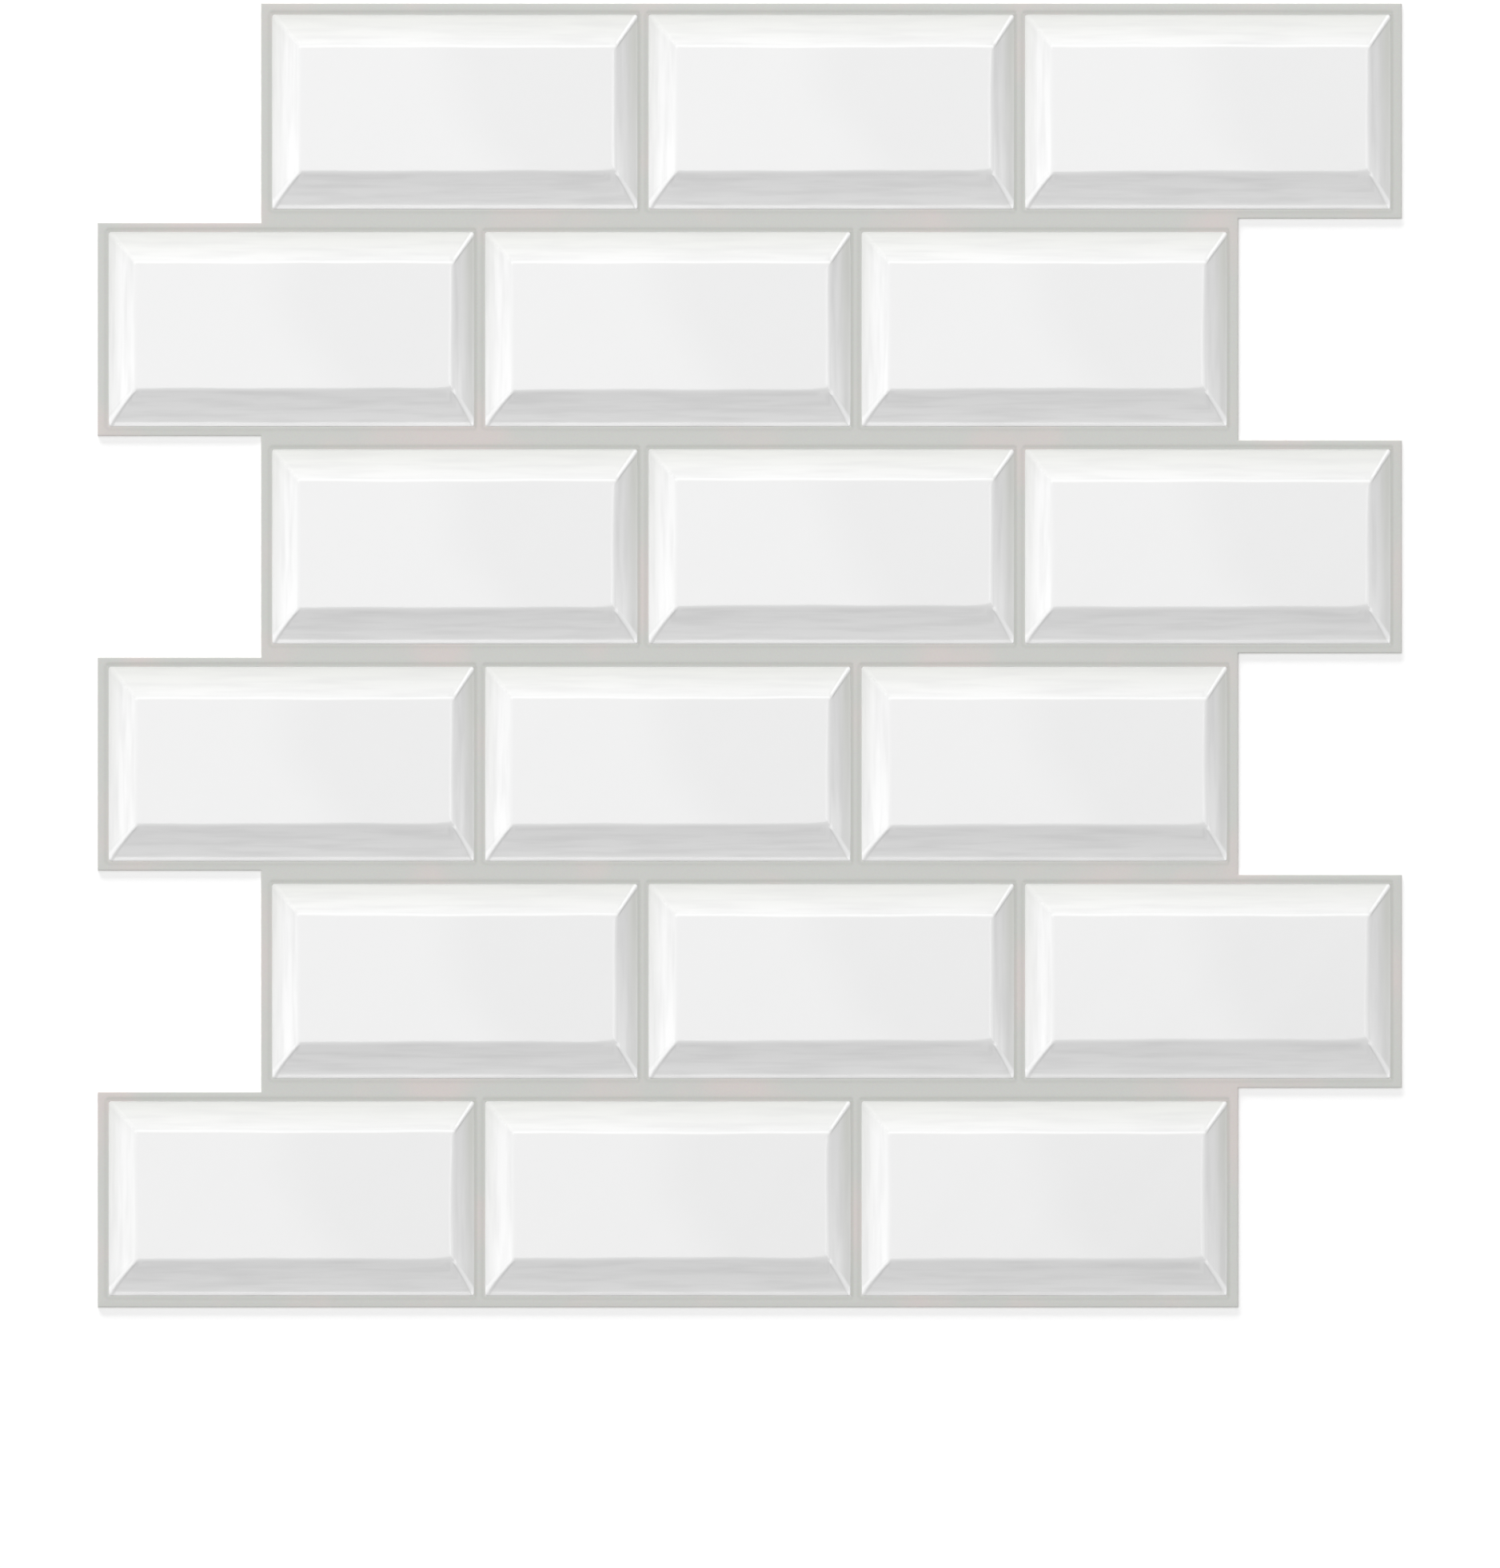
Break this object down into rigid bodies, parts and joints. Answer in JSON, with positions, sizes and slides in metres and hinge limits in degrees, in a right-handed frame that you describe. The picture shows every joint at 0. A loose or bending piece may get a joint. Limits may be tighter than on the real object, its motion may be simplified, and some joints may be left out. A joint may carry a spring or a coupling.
{
  "type": "peel and stick backsplash tile",
  "caption": "Square peel and stick backsplash sheet: bevelled brick tiles in staggered rows on a flexible self-adhesive backing with projecting row ends that interlock with the next sheet.",
  "frame": {"origin": "middle of the sheet's outline, on the underside of the release liner", "axes": "+Z out of the wall towards the room, +Y up the wall, +X along the rows to the right; the sheet is stored lying face up"},
  "size_m": [0.3048, 0.3048, 0.0025],
  "materials": {
    "tile_gloss": "white gloss, moulded",
    "grout": "matt warm grey, grout-coloured",
    "liner": "siliconised release paper, satin"
  },
  "bodies": {
    "root": {"backing_sheet": "grout", "release_liner": "liner", "tile_row_1_col_1": "tile_gloss", "tile_row_1_col_2": "tile_gloss", "tile_row_1_col_3": "tile_gloss", "tile_row_2_col_1": "tile_gloss", "tile_row_2_col_2": "tile_gloss", "tile_row_2_col_3": "tile_gloss", "tile_row_3_col_1": "tile_gloss", "tile_row_3_col_2": "tile_gloss", "tile_row_3_col_3": "tile_gloss", "tile_row_4_col_1": "tile_gloss", "tile_row_4_col_2": "tile_gloss", "tile_row_4_col_3": "tile_gloss", "tile_row_5_col_1": "tile_gloss", "tile_row_5_col_2": "tile_gloss", "tile_row_5_col_3": "tile_gloss", "tile_row_6_col_1": "tile_gloss", "tile_row_6_col_2": "tile_gloss", "tile_row_6_col_3": "tile_gloss"}
  },
  "joints": []
}
